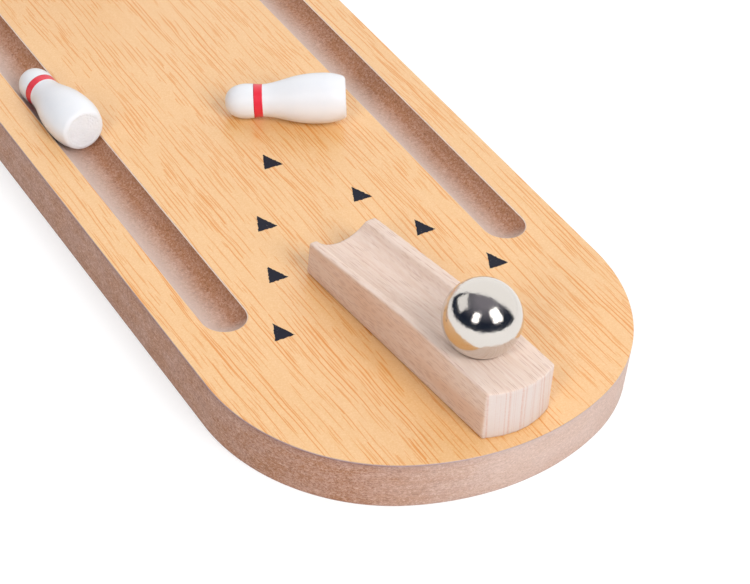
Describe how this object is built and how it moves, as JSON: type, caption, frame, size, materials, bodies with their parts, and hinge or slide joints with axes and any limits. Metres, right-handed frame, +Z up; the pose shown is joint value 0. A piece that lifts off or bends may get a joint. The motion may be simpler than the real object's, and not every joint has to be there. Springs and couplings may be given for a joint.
{
  "type": "tabletop bowling game",
  "caption": "Tabletop bowling game: a long board with rounded ends and two gutters, a swivelling grooved ramp, a polished steel ball and turned pins.",
  "frame": {"origin": "middle of the board's underside, on the surface that the board rests on", "axes": "+Y down the lane from the ramp to the pins, +Z up, +X to the player's right"},
  "size_m": [0.13, 0.34, 0.0525],
  "materials": {
    "fibreboard": "matte",
    "grain_sheet": "satin",
    "black_ink": "matte",
    "beech": "satin",
    "screw_steel": "satin",
    "ball_steel": "mirror",
    "white_paint": "gloss paint",
    "red_paint": "gloss"
  },
  "bodies": {
    "board": {"board_core": "fibreboard", "top_sheet": "grain_sheet", "aiming_triangles": "black_ink", "pin_spots": "black_ink", "pivot_washer": "screw_steel"},
    "ramp": {"ramp": "beech", "pivot_screw": "screw_steel"},
    "ball": {"ball": "ball_steel"},
    "pin_1": {"pin_1": "white_paint", "pin_1_band": "red_paint"},
    "pin_2": {"pin_2": "white_paint", "pin_2_band": "red_paint"},
    "pin_3": {"pin_3": "white_paint", "pin_3_band": "red_paint"},
    "pin_4": {"pin_4": "white_paint", "pin_4_band": "red_paint"},
    "pin_5": {"pin_5": "white_paint", "pin_5_band": "red_paint"},
    "pin_6": {"pin_6": "white_paint", "pin_6_band": "red_paint"},
    "pin_7": {"pin_7": "white_paint", "pin_7_band": "red_paint"},
    "pin_8": {"pin_8": "white_paint", "pin_8_band": "red_paint"},
    "pin_9": {"pin_9": "white_paint", "pin_9_band": "red_paint"},
    "pin_10": {"pin_10": "white_paint", "pin_10_band": "red_paint"}
  },
  "joints": [
    {"name": "ramp_swivel", "type": "hinge", "parent": "board", "child": "ramp", "pos_m": [0, -0.1445, 0.0153], "axis": [0, 0, 1], "range_deg": [-34, 24]},
    {"name": "ball_roll", "type": "slide", "parent": "ramp", "child": "ball", "axis": [-0.0867, 0.991, -0.1024], "range_m": [0, 0.06]},
    {"name": "pin_1_lift", "type": "slide", "parent": "board", "child": "pin_1", "axis": [0, 0, 1], "range_m": [0, 0.06]},
    {"name": "pin_2_lift", "type": "slide", "parent": "board", "child": "pin_2", "axis": [0, 0, 1], "range_m": [0, 0.06]},
    {"name": "pin_3_lift", "type": "slide", "parent": "board", "child": "pin_3", "axis": [0, 0, 1], "range_m": [0, 0.06]},
    {"name": "pin_4_lift", "type": "slide", "parent": "board", "child": "pin_4", "axis": [0, 0, 1], "range_m": [0, 0.06]},
    {"name": "pin_5_lift", "type": "slide", "parent": "board", "child": "pin_5", "axis": [0, 0, 1], "range_m": [0, 0.06]},
    {"name": "pin_6_lift", "type": "slide", "parent": "board", "child": "pin_6", "axis": [0, 0, 1], "range_m": [0, 0.06]},
    {"name": "pin_7_lift", "type": "slide", "parent": "board", "child": "pin_7", "axis": [0, 0, 1], "range_m": [0, 0.06]},
    {"name": "pin_8_lift", "type": "slide", "parent": "board", "child": "pin_8", "axis": [0, 0, 1], "range_m": [0, 0.06]},
    {"name": "pin_9_lift", "type": "slide", "parent": "board", "child": "pin_9", "axis": [0, 0, 1], "range_m": [0, 0.06]},
    {"name": "pin_10_lift", "type": "slide", "parent": "board", "child": "pin_10", "axis": [0, 0, 1], "range_m": [0, 0.06]}
  ]
}
